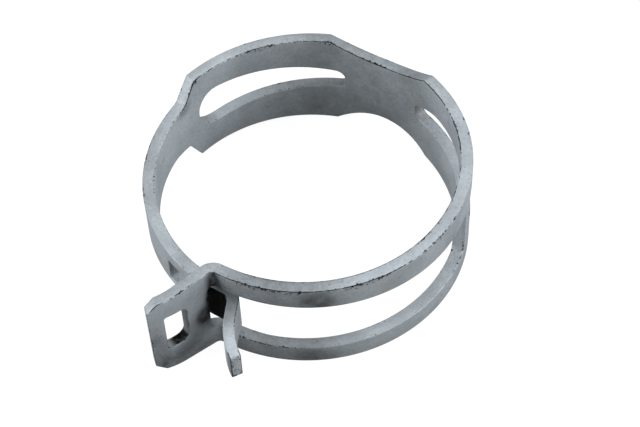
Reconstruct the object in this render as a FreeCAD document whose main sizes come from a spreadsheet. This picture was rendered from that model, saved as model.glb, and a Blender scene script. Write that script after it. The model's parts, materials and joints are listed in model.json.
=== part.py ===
"""Constant-tension spring hose clamp, flat-band type, with crossed ears.

The real clamp is one stamped, bent and hardened strip of spring steel. Here it is
modelled as the sections of that strip, one Body each, so that the band can flex: a
narrow slit lies on each flex line, where one section ends and the next begins.

Frame: millimetres, +Z along the hose, origin at the centre of the bore and half-way up
the band. The ears point to -Y, and the solid waist of the band is at +Y. Angles are in
degrees, anticlockwise from +X seen from above.
"""
import FreeCAD, Part
import Sketcher
import os

os.makedirs("parts", exist_ok=True)
doc = FreeCAD.newDocument("hose_clamp")
Vector = FreeCAD.Vector

# ---------------------------------------------------------------- driving dimensions
SIZES = [
    # the strip and the ring
    ("bore_radius", 24.0, "inside radius of the free ring"),
    ("thickness", 2.0, "thickness of the strip"),
    ("band_height", 18.6, "full height of the strip, along the hose"),
    ("flex_slit", 0.1, "slit on a flex line between two sections"),
    ("corner_radius", 1.2, "rounding in the corners of the slots"),
    # the waist, opposite the ears
    ("waist_half_angle", 20.5, "from the middle of the waist to its flex lines"),
    ("waist_dip", 2.7, "depth of the hollow in both edges of the waist"),
    # flex lines
    ("right_flex_2", 46.0, "second flex line of the right arm"),
    ("right_flex_3", 22.0, "third flex line of the right arm"),
    ("right_flex_4", -20.0, "fourth flex line of the right arm"),
    ("right_flex_5", -53.0, "fifth flex line of the right arm"),
    ("left_flex_2", 138.0, "second flex line of the left arm"),
    ("left_flex_3", 164.0, "third flex line of the left arm"),
    ("left_flex_4", 212.0, "fourth flex line of the left arm"),
    ("left_flex_5", 244.0, "fifth flex line of the left arm"),
    # slot in the right arm, beside the waist
    ("side_slot_near", 73.5, "end of the side slot at the waist"),
    ("side_slot_far", 19.0, "end of the side slot at the side bridge"),
    ("side_slot_near_top", 2.9, "upper edge, waist end"),
    ("side_slot_near_low", -0.9, "lower edge, waist end"),
    ("side_slot_far_top", 5.2, "upper edge, bridge end"),
    ("side_slot_far_low", -2.9, "lower edge, bridge end"),
    # slot in the left arm, beside the waist
    ("back_slot_near", 106.0, "end of the back slot at the waist"),
    ("back_slot_far", 169.0, "end of the back slot at the step"),
    ("back_slot_near_top", 2.4, "upper edge, waist end"),
    ("back_slot_near_low", -0.9, "lower edge, waist end"),
    ("back_slot_far_top", 4.8, "upper edge, step end"),
    ("back_slot_far_low", -4.0, "lower edge, step end"),
    ("back_slot_round", 3.2, "rounding at the wide end of the back slot"),
    # window that the tongue passes through
    ("window_near", 13.0, "end of the window at the side bridge"),
    ("window_near_top", 4.1, "upper edge, bridge end"),
    ("window_near_low", -5.5, "lower edge, bridge end"),
    ("window_ear_top", 5.8, "upper edge at the wide ear"),
    ("window_ear_low", -5.6, "lower edge at the wide ear"),
    ("window_foot_top", 0.4, "how far the window runs onto the wide ear, upper corner"),
    ("window_foot_low", 0.4, "how far the window runs onto the wide ear, lower corner"),
    ("bridge_overlap", 3.0, "side bridge, degrees beyond each slot end"),
    # tongue
    ("step_start", 170.5, "where the full height begins to fall to the tongue"),
    ("step_end", 176.2, "foot of the steep part of the step"),
    ("step_foot_rise", 0.5, "how far the foot of the step stands proud of the tongue's edge"),
    ("tongue_start", 180.0, "first full section of the tongue"),
    ("tongue_start_top", 5.3, "upper edge at tongue_start"),
    ("tongue_start_low", -3.9, "lower edge at tongue_start"),
    ("tongue_ear_top", 4.7, "upper edge at the narrow ear"),
    ("tongue_ear_low", -2.6, "lower edge at the narrow ear"),
    ("tongue_slot_near", 246.0, "closed end of the tongue slot"),
    ("tongue_slot_far", 264.0, "end of the tongue slot at the narrow ear"),
    ("tongue_slot_top", 2.4, "upper edge"),
    ("tongue_slot_low", -1.5, "lower edge"),
    ("tongue_slot_margin", 3.0, "solid tongue beyond each slot end, degrees"),
    # ears
    ("wide_ear_angle", -90.0, "where the wide ear's bend begins"),
    ("narrow_ear_angle", 272.3, "where the narrow ear's bend begins"),
    ("bend_radius", 1.9, "radius of both bends, to mid-thickness"),
    ("wide_ear_turn", 72.0, "turn of the wide ear's bend"),
    ("wide_ear_straight", 5.75, "straight part of the plate"),
    ("wide_ear_curl_radius", 11.5, "radius of the curled tip"),
    ("wide_ear_curl", 24.0, "turn of the curled tip"),
    ("wide_ear_rise", 1.5, "how much the lower edge rises towards the tip"),
    ("wide_ear_chamfer", 1.6, "cut corners of the tip"),
    ("hole_start", 4.4, "rectangular hole, from the bend"),
    ("hole_length", 3.9, "rectangular hole, along the plate"),
    ("hole_top", 5.0, "upper edge of the hole"),
    ("hole_low", -3.0, "lower edge of the hole"),
    ("narrow_ear_turn", 70.0, "turn of the narrow ear's bend"),
    ("narrow_ear_straight", 2.5, "straight part of the ear"),
    ("narrow_ear_curl_radius", 12.0, "radius of the curled tip"),
    ("narrow_ear_curl", 34.0, "turn of the curled tip"),
    ("narrow_ear_tip_top", 3.5, "upper edge at the tip"),
    ("narrow_ear_tip_low", -1.7, "lower edge at the tip"),
]

sheet = doc.addObject("Spreadsheet::Sheet", "Sizes")
for row, (alias, value, note) in enumerate(SIZES, start=1):
    sheet.set(f"A{row}", alias)
    sheet.set(f"B{row}", str(value))
    sheet.set(f"C{row}", note)
    sheet.setAlias(f"B{row}", alias)
ruler = doc.addObject("App::FeaturePython", "Ruler")
ruler.addProperty("App::PropertyFloat", "Value")
doc.recompute()


def cell(alias):
    """The expression that reads one size."""
    return f"Sizes.{alias}"


OUTER = "(Sizes.bore_radius + Sizes.thickness)"
MIDDLE = "(Sizes.bore_radius + Sizes.thickness / 2)"
TOP = "(Sizes.band_height / 2)"
LOW = "(-Sizes.band_height / 2)"
WAIST_RIGHT = "(90 - Sizes.waist_half_angle)"
WAIST_LEFT = "(90 + Sizes.waist_half_angle)"
BEND_CENTRE = f"({MIDDLE} + Sizes.bend_radius)"
HALF_SLIT = f"(Sizes.flex_slit / 2 / {MIDDLE} * 180 / pi)"
PAST_EDGE = 3.0    # how far a cutting outline runs past the metal
PAST_END = 6.0     # how many degrees a slot's outline runs past its section


def along(start, end, start_value, end_value, place):
    """An edge that runs straight from one angle to another, read at a place between."""
    share = f"(({place}) - ({start})) / (({end}) - ({start}))"
    return f"(({start_value}) + (({end_value}) - ({start_value})) * {share})"


def slot_edge(slot, edge, place):
    """Height of an edge of the side or back slot at an angle."""
    return along(cell(f"{slot}_near"), cell(f"{slot}_far"), cell(f"{slot}_near_{edge}"),
                 cell(f"{slot}_far_{edge}"), place)


def window_edge(edge, place):
    """Height of an edge of the window at an angle."""
    return along(cell("window_near"), cell("wide_ear_angle"), cell(f"window_near_{edge}"),
                 cell(f"window_ear_{edge}"), place)


def tongue_edge(edge, place):
    """Height of an edge of the tongue at an angle."""
    return along(cell("tongue_start"), cell("narrow_ear_angle"), cell(f"tongue_start_{edge}"),
                 cell(f"tongue_ear_{edge}"), place)


# ---------------------------------------------------------------- building blocks
def new_body(label, angle, x="0", y="0"):
    """A Body of its own, placed in the row frame and turned about Z."""
    body = doc.addObject("PartDesign::Body", label)
    body.Label = label
    body.Placement = FreeCAD.Placement(Vector(0, 0, 0), FreeCAD.Rotation(Vector(0, 0, 1), 0))
    body.setExpression("Placement.Base.x", x)
    body.setExpression("Placement.Base.y", y)
    body.setExpression("Placement.Rotation.Angle", angle)
    return body


def new_sketch(body, plane, name):
    """A sketch on one of the body's origin planes."""
    support = next(item for item in body.Origin.OriginFeatures if item.Role == plane)
    sketch = body.newObject("Sketcher::SketchObject", name)
    sketch.AttachmentSupport = [(support, "")]
    sketch.MapMode = "FlatFace"
    return sketch


def value_of(expression):
    """The present value of an expression, for the first guess of a sketch."""
    ruler.setExpression("Value", str(expression))
    ruler.recompute()
    return ruler.Value


def bind(sketch, kind, *arguments):
    """Add a constraint whose value comes from an expression, the last argument."""
    *geometry, expression = arguments
    index = sketch.addConstraint(Sketcher.Constraint(kind, *geometry, value_of(expression)))
    sketch.setExpression(f"Constraints[{index}]", str(expression))


def outline(sketch, points, rounds=None):
    """A closed outline through points given as expressions.

    rounds maps the index of a point to (radius, clockwise): the edge from that point to
    the next is then an arc of that radius instead of a straight line.
    """
    rounds = rounds or {}
    spots = [Vector(value_of(x), value_of(y), 0) for x, y in points]
    for index, spot in enumerate(spots):
        following = spots[(index + 1) % len(spots)]
        if index in rounds:
            radius, clockwise = rounds[index]
            sketch.addGeometry(short_arc(spot, following, value_of(radius), clockwise))
        else:
            sketch.addGeometry(Part.LineSegment(spot, following))
    ends = []
    for index in range(len(points)):
        clockwise = index in rounds and rounds[index][1]
        ends.append((2, 1) if clockwise else (1, 2))
    for index in range(len(points)):
        following = (index + 1) % len(points)
        sketch.addConstraint(Sketcher.Constraint(
            "Coincident", index, ends[index][1], following, ends[following][0]))
    for index, (x, y) in enumerate(points):
        bind(sketch, "DistanceX", -1, 1, index, ends[index][0], x)
        bind(sketch, "DistanceY", -1, 1, index, ends[index][0], y)
    for index, (radius, _) in rounds.items():
        bind(sketch, "Radius", index, radius)


def short_arc(first, last, radius, clockwise):
    """The shorter arc of a circle from one point to another."""
    chord = last - first
    across = Vector(-chord.y, chord.x, 0)
    across.normalize()
    height = max(radius ** 2 - (chord.Length / 2) ** 2, 0.0) ** 0.5
    centre = (first + last) * 0.5 + across * (-height if clockwise else height)
    circle = Part.Circle(centre, Vector(0, 0, 1), radius)
    start, end = (last, first) if clockwise else (first, last)
    return Part.ArcOfCircle(circle, circle.parameter(start), circle.parameter(end))


def rectangle(sketch, left, right, bottom, top):
    """A rectangle whose four sides are expressions."""
    outline(sketch, [(left, bottom), (right, bottom), (right, top), (left, top)])


def cut_through(body, sketch, name, direction=None):
    """Cut an outline through the body both ways, and check that it took metal away.

    direction is the cut's (x, y) direction in the body, as expressions, where it isn't
    the sketch's own normal.
    """
    doc.recompute()
    before = body.Shape.Volume
    pocket = body.newObject("PartDesign::Pocket", name)
    pocket.Profile = sketch
    pocket.Type = 1
    pocket.Midplane = True
    if direction:
        pocket.UseCustomVector = True
        pocket.Direction = Vector(value_of(direction[0]), value_of(direction[1]), 0)
        pocket.setExpression("Direction.x", direction[0])
        pocket.setExpression("Direction.y", direction[1])
    doc.recompute()
    if body.Shape.Volume >= before:
        raise RuntimeError(f"{body.Label}: {name} cuts nothing")


def revolve_section(body, inner, outer, low, top, angle):
    """Turn a rectangular section of the strip about the body's Z axis."""
    section = new_sketch(body, "XZ_Plane", "Section")
    rectangle(section, inner, outer, low, top)
    turned = body.newObject("PartDesign::Revolution", "Strip")
    turned.Profile = section
    turned.ReferenceAxis = (section, ["V_Axis"])
    turned.Midplane = True
    turned.setExpression("Angle", angle)
    doc.recompute()


class Arc:
    """One section of the ring, between two angles, first lower than last."""

    def __init__(self, label, first, last, low, top, slit_first=False, slit_last=False):
        """low and top are (height at first, height at last), as expressions."""
        self.first, self.last = first, last
        start = f"({first} + {HALF_SLIT})" if slit_first else f"({first})"
        end = f"({last} - {HALF_SLIT})" if slit_last else f"({last})"
        self.middle = f"(({start} + {end}) / 2)"
        self.body = new_body(label, self.middle)
        span = f"({end} - {start})"
        revolve_section(self.body, cell("bore_radius"), OUTER, f"min({low[0]}; {low[1]})",
                        f"max({top[0]}; {top[1]})", span)
        self.half_chord = f"({MIDDLE} * sin({span} / 2))"
        self.slope_edge("Lower", low, -PAST_EDGE)
        self.slope_edge("Upper", top, PAST_EDGE)

    def across(self, angle):
        """Where an angle lies across the section, seen along its middle radius."""
        return f"({MIDDLE} * sin(({angle}) - {self.middle}))"

    def slope_edge(self, name, heights, past):
        """Trim one edge to a slope, if its two heights differ."""
        first, last = heights
        if first == last:
            return
        steep = f"(({last}) - ({first})) / 2"
        clear = f"{'max' if past > 0 else 'min'}({first}; {last}) + {2 * past}"
        sketch = new_sketch(self.body, "YZ_Plane", f"{name}EdgeOutline")
        outline(sketch, [
            (f"-2 * {self.half_chord}", f"({first}) - {steep}"),
            (f"2 * {self.half_chord}", f"({last}) + {steep}"),
            (f"2 * {self.half_chord}", clear),
            (f"-2 * {self.half_chord}", clear),
        ])
        cut_through(self.body, sketch, f"{name}Edge")

    def slot_end(self, name, closed, open_side, edges, radius):
        """Cut the closed end of a slot that opens towards the section's other side.

        closed is the angle of the slot's end, open_side the angle where the section
        ends, edges the slot's (low, top) as functions of the angle.
        """
        low_edge, top_edge = edges
        side = 1 if value_of(closed) < value_of(open_side) else -1
        beyond = f"(({open_side}) + {side} * {PAST_END})"
        end = self.across(closed)
        inside = f"({end} + {side} * {radius})"
        out = self.across(beyond)
        sketch = new_sketch(self.body, "YZ_Plane", f"{name}Outline")
        outline(sketch, [
            (out, top_edge(beyond)),
            (inside, top_edge(closed)),
            (end, f"{top_edge(closed)} - {radius}"),
            (end, f"{low_edge(closed)} + {radius}"),
            (inside, low_edge(closed)),
            (out, low_edge(beyond)),
        ], rounds={1: (radius, side < 0), 3: (radius, side < 0)})
        cut_through(self.body, sketch, name)


# ---------------------------------------------------------------- the waist
side_edges = (lambda place: slot_edge("side_slot", "low", place),
              lambda place: slot_edge("side_slot", "top", place))
back_edges = (lambda place: slot_edge("back_slot", "low", place),
              lambda place: slot_edge("back_slot", "top", place))
window_edges = (lambda place: window_edge("low", place),
                lambda place: window_edge("top", place))

waist = Arc("waist", WAIST_RIGHT, WAIST_LEFT, (LOW, LOW), (TOP, TOP), True, True)
half_width = f"({MIDDLE} * sin({cell('waist_half_angle')}))"
dip_radius = f"(({half_width}^2 + {cell('waist_dip')}^2) / (2 * {cell('waist_dip')}))"
for name, side in (("UpperDip", 1), ("LowerDip", -1)):
    dip = new_sketch(waist.body, "YZ_Plane", f"{name}Outline")
    height = f"{side} * ({TOP} - {cell('waist_dip')} + {dip_radius})"
    dip.addGeometry(Part.Circle(Vector(0, value_of(height), 0), Vector(0, 0, 1),
                                value_of(dip_radius)))
    dip.addConstraint(Sketcher.Constraint("PointOnObject", 0, 3, -2))
    bind(dip, "DistanceY", -1, 1, 0, 3, height)
    bind(dip, "Radius", 0, dip_radius)
    cut_through(waist.body, dip, name)
waist.slot_end("SideSlotEnd", cell("side_slot_near"), WAIST_RIGHT, side_edges,
               cell("corner_radius"))
waist.slot_end("BackSlotEnd", cell("back_slot_near"), WAIST_LEFT, back_edges,
               cell("corner_radius"))


# ---------------------------------------------------------------- strips beside slots
def strip_pair(name, first, last, edges, slit_first, slit_last):
    """The strips above and below a slot, between two angles."""
    low_edge, top_edge = edges
    Arc(f"{name}_upper_strip", first, last, (top_edge(first), top_edge(last)), (TOP, TOP),
        slit_first, slit_last)
    Arc(f"{name}_lower_strip", first, last, (LOW, LOW), (low_edge(first), low_edge(last)),
        slit_first, slit_last)


strip_pair("right_shoulder", cell("right_flex_2"), WAIST_RIGHT, side_edges, True, True)
strip_pair("right_side", cell("right_flex_3"), cell("right_flex_2"), side_edges, True, True)
strip_pair("left_shoulder", WAIST_LEFT, cell("left_flex_2"), back_edges, True, True)
strip_pair("left_side", cell("left_flex_2"), cell("left_flex_3"), back_edges, True, True)

bridge_front = f"({cell('window_near')} - {cell('bridge_overlap')})"
side_bridge = Arc("side_bridge", bridge_front, cell("right_flex_3"), (LOW, LOW), (TOP, TOP),
                  False, True)
side_bridge.slot_end("SideSlotEnd", cell("side_slot_far"), cell("right_flex_3"), side_edges,
                     cell("corner_radius"))
side_bridge.slot_end("WindowEnd", cell("window_near"), bridge_front, window_edges,
                     cell("corner_radius"))
strip_pair("window_rear", cell("right_flex_4"), bridge_front, window_edges, True, False)
strip_pair("window_middle", cell("right_flex_5"), cell("right_flex_4"), window_edges,
           True, True)
strip_pair("window_front", cell("wide_ear_angle"), cell("right_flex_5"), window_edges,
           False, True)

# ---------------------------------------------------------------- the step to the tongue
step = Arc("tongue_shoulder", cell("left_flex_3"), cell("tongue_start"), (LOW, LOW),
           (TOP, TOP), True, False)
step.slot_end("BackSlotEnd", cell("back_slot_far"), cell("left_flex_3"), back_edges,
              cell("back_slot_round"))
past_tongue = f"({cell('tongue_start')} + {PAST_END})"
for name, edge, full in (("UpperStep", "top", TOP), ("LowerStep", "low", LOW)):
    side = 1 if edge == "top" else -1
    sketch = new_sketch(step.body, "YZ_Plane", f"{name}Outline")
    outline(sketch, [
        (step.across(cell("step_start")), full),
        (step.across(cell("step_end")), tongue_edge(edge, cell("step_end"))
         + f" + {side} * {cell('step_foot_rise')}"),
        (step.across(cell("tongue_start")), tongue_edge(edge, cell("tongue_start"))),
        (step.across(past_tongue), tongue_edge(edge, past_tongue)),
        (step.across(past_tongue), f"{full} + {side * PAST_EDGE}"),
        (step.across(cell("step_start")), f"{full} + {side * PAST_EDGE}"),
    ])
    cut_through(step.body, sketch, name)


# ---------------------------------------------------------------- the tongue
def tongue_piece(label, first, last, slit_first, slit_last):
    """A full-width piece of the tongue."""
    return Arc(label, first, last, (tongue_edge("low", first), tongue_edge("low", last)),
               (tongue_edge("top", first), tongue_edge("top", last)), slit_first, slit_last)


tongue_slot_edges = (lambda place: cell("tongue_slot_low"), lambda place: cell("tongue_slot_top"))
prong_start = f"({cell('tongue_slot_near')} + {cell('tongue_slot_margin')})"
prong_end = f"({cell('tongue_slot_far')} - {cell('tongue_slot_margin')})"

tongue_piece("tongue_rear", cell("tongue_start"), cell("left_flex_4"), False, True)
tongue_piece("tongue_middle", cell("left_flex_4"), cell("left_flex_5"), True, True)
slot_head = tongue_piece("tongue_slot_head", cell("left_flex_5"), prong_start, True, False)
slot_head.slot_end("SlotEnd", cell("tongue_slot_near"), prong_start, tongue_slot_edges,
                   cell("corner_radius"))
Arc("tongue_upper_prong", prong_start, prong_end,
    (cell("tongue_slot_top"), cell("tongue_slot_top")),
    (tongue_edge("top", prong_start), tongue_edge("top", prong_end)))
Arc("tongue_lower_prong", prong_start, prong_end,
    (tongue_edge("low", prong_start), tongue_edge("low", prong_end)),
    (cell("tongue_slot_low"), cell("tongue_slot_low")))
ear_root = tongue_piece("narrow_ear_root", prong_end, cell("narrow_ear_angle"), False, False)
ear_root.slot_end("SlotEnd", cell("tongue_slot_far"), prong_end, tongue_slot_edges,
                  cell("corner_radius"))


# ---------------------------------------------------------------- the ears
def bend(label, angle, turn, low, top):
    """A bend of the strip outwards, at an angle of the ring.

    turn is positive where the bend turns anticlockwise seen from above.
    """
    body = new_body(label, f"({angle} + 180 + ({turn}) / 2)",
                    f"{BEND_CENTRE} * cos({angle})", f"{BEND_CENTRE} * sin({angle})")
    inner = f"{cell('bend_radius')} - {cell('thickness')} / 2"
    outer = f"{cell('bend_radius')} + {cell('thickness')} / 2"
    revolve_section(body, inner, outer, low, top, f"abs({turn})")
    return body


def plate(label, angle, turn, straight, curl_radius, curl, low, top):
    """The flat part of an ear and its curled tip, swept along its plan path.

    The body's X axis runs along the plate from the end of the bend. A positive curl
    turns the tip to the body's +Y.
    """
    side = 1 if value_of(turn) > 0 else -1
    heading = f"({angle} + 180 + ({turn}) + {side} * 90)"
    spoke = f"({angle} + 180 + ({turn}))"
    body = new_body(label, heading,
                    f"{BEND_CENTRE} * cos({angle}) + {cell('bend_radius')} * cos({spoke})",
                    f"{BEND_CENTRE} * sin({angle}) + {cell('bend_radius')} * sin({spoke})")
    tip_side = -side
    path = new_sketch(body, "XY_Plane", "PlanPath")
    start = Vector(value_of(straight), 0, 0)
    reach = f"({straight} + {curl_radius} * sin({curl}))"
    offset = f"({tip_side} * {curl_radius} * (1 - cos({curl})))"
    tip = Vector(value_of(reach), value_of(offset), 0)
    path.addGeometry(Part.LineSegment(Vector(0, 0, 0), start))
    path.addGeometry(short_arc(start, tip, value_of(curl_radius), tip_side < 0))
    near, far = (2, 1) if tip_side < 0 else (1, 2)
    path.addConstraint(Sketcher.Constraint("Coincident", 0, 1, -1, 1))
    path.addConstraint(Sketcher.Constraint("Horizontal", 0))
    path.addConstraint(Sketcher.Constraint("Coincident", 0, 2, 1, near))
    bind(path, "DistanceX", 0, 1, 0, 2, straight)
    bind(path, "DistanceX", -1, 1, 1, far, reach)
    bind(path, "DistanceY", -1, 1, 1, far, offset)
    bind(path, "Radius", 1, curl_radius)
    section = new_sketch(body, "YZ_Plane", "Section")
    half = f"({cell('thickness')} / 2)"
    rectangle(section, f"-{half}", half, low, top)
    swept = body.newObject("PartDesign::AdditivePipe", "Plate")
    swept.Profile = section
    swept.Spine = (path, ["Edge1", "Edge2"])
    doc.recompute()
    return body, reach, offset


bend("wide_ear_upper_bend", cell("wide_ear_angle"), cell("wide_ear_turn"),
     cell("window_ear_top"), TOP)
bend("wide_ear_lower_bend", cell("wide_ear_angle"), cell("wide_ear_turn"), LOW,
     cell("window_ear_low"))
wide_plate, wide_reach, wide_offset = plate(
    "wide_ear_plate", cell("wide_ear_angle"), cell("wide_ear_turn"), cell("wide_ear_straight"),
    cell("wide_ear_curl_radius"), cell("wide_ear_curl"), LOW, TOP)

# the window runs on through the bend, onto the foot of the plate
round_off = cell("corner_radius")
sketch = new_sketch(wide_plate, "XZ_Plane", "WindowFootOutline")
foot_low, foot_top = cell("window_foot_low"), cell("window_foot_top")
outline(sketch, [
    (f"-{PAST_EDGE}", cell("window_ear_low")),
    (f"{foot_low} - {round_off}", cell("window_ear_low")),
    (foot_low, f"{cell('window_ear_low')} + {round_off}"),
    (foot_top, f"{cell('window_ear_top')} - {round_off}"),
    (f"{foot_top} - {round_off}", cell("window_ear_top")),
    (f"-{PAST_EDGE}", cell("window_ear_top")),
], rounds={1: (round_off, False), 3: (round_off, False)})
cut_through(wide_plate, sketch, "WindowFoot")

# rectangular hole that catches the narrow ear's tip
hole_end = f"({cell('hole_start')} + {cell('hole_length')})"
sketch = new_sketch(wide_plate, "XZ_Plane", "HoleOutline")
outline(sketch, [
    (f"{cell('hole_start')} + {round_off}", cell("hole_low")),
    (f"{hole_end} - {round_off}", cell("hole_low")),
    (hole_end, f"{cell('hole_low')} + {round_off}"),
    (hole_end, f"{cell('hole_top')} - {round_off}"),
    (f"{hole_end} - {round_off}", cell("hole_top")),
    (f"{cell('hole_start')} + {round_off}", cell("hole_top")),
    (cell("hole_start"), f"{cell('hole_top')} - {round_off}"),
    (cell("hole_start"), f"{cell('hole_low')} + {round_off}"),
], rounds={1: (round_off, False), 3: (round_off, False), 5: (round_off, False),
           7: (round_off, False)})
cut_through(wide_plate, sketch, "Hole")


def slope_ear(body, reach, full, tip, name):
    """Slope one edge of an ear, from its height at the foot to its height at the tip."""
    side = 1 if value_of(full) > 0 else -1
    past_tip = f"({reach} + {PAST_EDGE})"
    past_edge = f"({full} + {side * PAST_EDGE})"
    sketch = new_sketch(body, "XZ_Plane", f"{name}Outline")
    outline(sketch, [
        ("0", full),
        (past_tip, along("0", reach, full, tip, past_tip)),
        (past_tip, past_edge),
        ("0", past_edge),
    ])
    cut_through(body, sketch, name)


def cut_corner(body, reach, offset, curl, tip, chamfer, name):
    """Cut a corner off the tip of an ear, square to the tip's own faces."""
    side = 1 if value_of(tip) > 0 else -1
    tip_side = 1 if value_of(offset) > 0 else -1
    tip_x = f"({reach} + abs({offset}) * tan({curl}))"
    sketch = new_sketch(body, "XZ_Plane", f"{name}Outline")
    outline(sketch, [
        (f"{tip_x} - ({chamfer} + {PAST_EDGE}) / cos({curl})", f"{tip} + {side * PAST_EDGE}"),
        (f"{tip_x} + {PAST_EDGE} / cos({curl})", f"{tip} - {side} * ({chamfer} + {PAST_EDGE})"),
        (f"{tip_x} + {PAST_EDGE} / cos({curl})", f"{tip} + {side * PAST_EDGE}"),
    ])
    cut_through(body, sketch, name, (f"{-tip_side} * sin({curl})", f"cos({curl})"))


wide_tip_low = f"({LOW} + {cell('wide_ear_rise')})"
slope_ear(wide_plate, wide_reach, LOW, wide_tip_low, "LowerSlope")
for name, tip in (("UpperCorner", TOP), ("LowerCorner", wide_tip_low)):
    cut_corner(wide_plate, wide_reach, wide_offset, cell("wide_ear_curl"), tip,
               cell("wide_ear_chamfer"), name)

narrow_top, narrow_low = cell("tongue_ear_top"), cell("tongue_ear_low")
narrow_turn = f"(-{cell('narrow_ear_turn')})"
bend("narrow_ear_bend", cell("narrow_ear_angle"), narrow_turn, narrow_low, narrow_top)
narrow_plate, narrow_reach, _ = plate(
    "narrow_ear_plate", cell("narrow_ear_angle"), narrow_turn, cell("narrow_ear_straight"),
    cell("narrow_ear_curl_radius"), cell("narrow_ear_curl"), narrow_low, narrow_top)
slope_ear(narrow_plate, narrow_reach, narrow_top, cell("narrow_ear_tip_top"), "UpperSlope")
slope_ear(narrow_plate, narrow_reach, narrow_low, cell("narrow_ear_tip_low"), "LowerSlope")

# ---------------------------------------------------------------- checks and export
doc.removeObject("Ruler")
doc.recompute()
for item in doc.Objects:
    if {"Invalid", "Error"} & set(item.State):
        raise RuntimeError(f"{item.Label} failed: {item.State}")
bodies = [item for item in doc.Objects if item.TypeId == "PartDesign::Body"]
for body in bodies:
    if body.Shape.isNull() or not body.Shape.isValid() or len(body.Shape.Solids) != 1:
        raise RuntimeError(f"{body.Label} has no valid solid")
    body.Shape.exportStep(f"parts/{body.Label}.step")
print(len(bodies), "sections,", round(sum(body.Shape.Volume for body in bodies)), "mm3")
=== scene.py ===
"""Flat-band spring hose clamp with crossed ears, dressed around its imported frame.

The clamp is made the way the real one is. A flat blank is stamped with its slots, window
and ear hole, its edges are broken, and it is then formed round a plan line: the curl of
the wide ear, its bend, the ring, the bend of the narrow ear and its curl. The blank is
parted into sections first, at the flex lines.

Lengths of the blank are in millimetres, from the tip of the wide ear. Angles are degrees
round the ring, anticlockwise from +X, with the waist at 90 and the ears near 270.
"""
import json
import logging
import math
from dataclasses import dataclass, field
from enum import Enum

import bmesh
import bpy
from mathutils import Matrix, Vector

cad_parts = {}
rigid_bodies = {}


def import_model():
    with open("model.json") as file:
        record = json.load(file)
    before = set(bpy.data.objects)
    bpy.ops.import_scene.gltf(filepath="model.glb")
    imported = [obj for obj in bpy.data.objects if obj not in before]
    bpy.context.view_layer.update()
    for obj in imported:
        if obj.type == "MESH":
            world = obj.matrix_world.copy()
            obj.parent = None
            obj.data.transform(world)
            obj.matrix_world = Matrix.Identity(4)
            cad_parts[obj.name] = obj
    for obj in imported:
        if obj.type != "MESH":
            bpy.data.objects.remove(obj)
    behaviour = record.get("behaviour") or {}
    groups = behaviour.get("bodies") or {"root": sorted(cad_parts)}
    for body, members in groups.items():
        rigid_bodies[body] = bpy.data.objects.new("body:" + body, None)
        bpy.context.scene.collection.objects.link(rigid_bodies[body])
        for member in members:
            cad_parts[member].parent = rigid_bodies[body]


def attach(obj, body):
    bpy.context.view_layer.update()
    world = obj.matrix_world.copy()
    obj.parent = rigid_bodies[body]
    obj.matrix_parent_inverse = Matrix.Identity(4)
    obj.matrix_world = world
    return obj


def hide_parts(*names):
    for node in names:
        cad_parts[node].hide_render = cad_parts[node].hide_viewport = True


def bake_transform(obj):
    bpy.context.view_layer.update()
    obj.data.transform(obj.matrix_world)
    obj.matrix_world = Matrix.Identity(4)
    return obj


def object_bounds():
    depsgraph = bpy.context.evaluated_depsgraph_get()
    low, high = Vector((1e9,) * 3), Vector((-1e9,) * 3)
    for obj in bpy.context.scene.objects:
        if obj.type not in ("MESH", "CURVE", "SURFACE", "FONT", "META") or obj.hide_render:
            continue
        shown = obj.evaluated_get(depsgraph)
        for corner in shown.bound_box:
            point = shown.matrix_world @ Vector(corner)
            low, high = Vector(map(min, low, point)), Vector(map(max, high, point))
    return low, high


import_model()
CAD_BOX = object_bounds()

log = logging.getLogger("hose_clamp")

MM = 0.001
MERGE = 1e-7
FLAT = "flat_mm"

Colour = tuple[float, float, float, float]


class Edge(Enum):
    """The two long edges of the blank."""

    TOP = 1
    LOW = -1


class Face(Enum):
    """The faces of the strip: the sign of the way out through it, for inner and outer."""

    OUTER = -1
    CUT = 0
    INNER = 1
    ALL = 2


# ---------------------------------------------------------------- bench tools
def pick(piece: bpy.types.Object) -> None:
    """Select one object alone and make it active.

    Args:
        piece: the object to work on.
    """
    for other in bpy.context.scene.objects:
        other.select_set(False)
    piece.select_set(True)
    bpy.context.view_layer.objects.active = piece


def apply_modifier(piece: bpy.types.Object, kind: str, **settings: object) -> None:
    """Add a modifier with its settings and apply it.

    Args:
        piece: the object to change.
        kind: the modifier's type.
        settings: values of the modifier's own properties.
    """
    pick(piece)
    modifier = piece.modifiers.new(kind.title(), kind)
    for key, value in settings.items():
        setattr(modifier, key, value)
    bpy.ops.object.modifier_apply(modifier=modifier.name)


@dataclass(frozen=True)
class Corner:
    """One corner of a stamped outline, in millimetres on the flat blank."""

    along: float
    height: float
    radius: float = 0.0

    def point(self) -> Vector:
        """The corner's place in metres, in the plane of the blank."""
        return Vector((self.along * MM, 0.0, self.height * MM))


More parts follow.
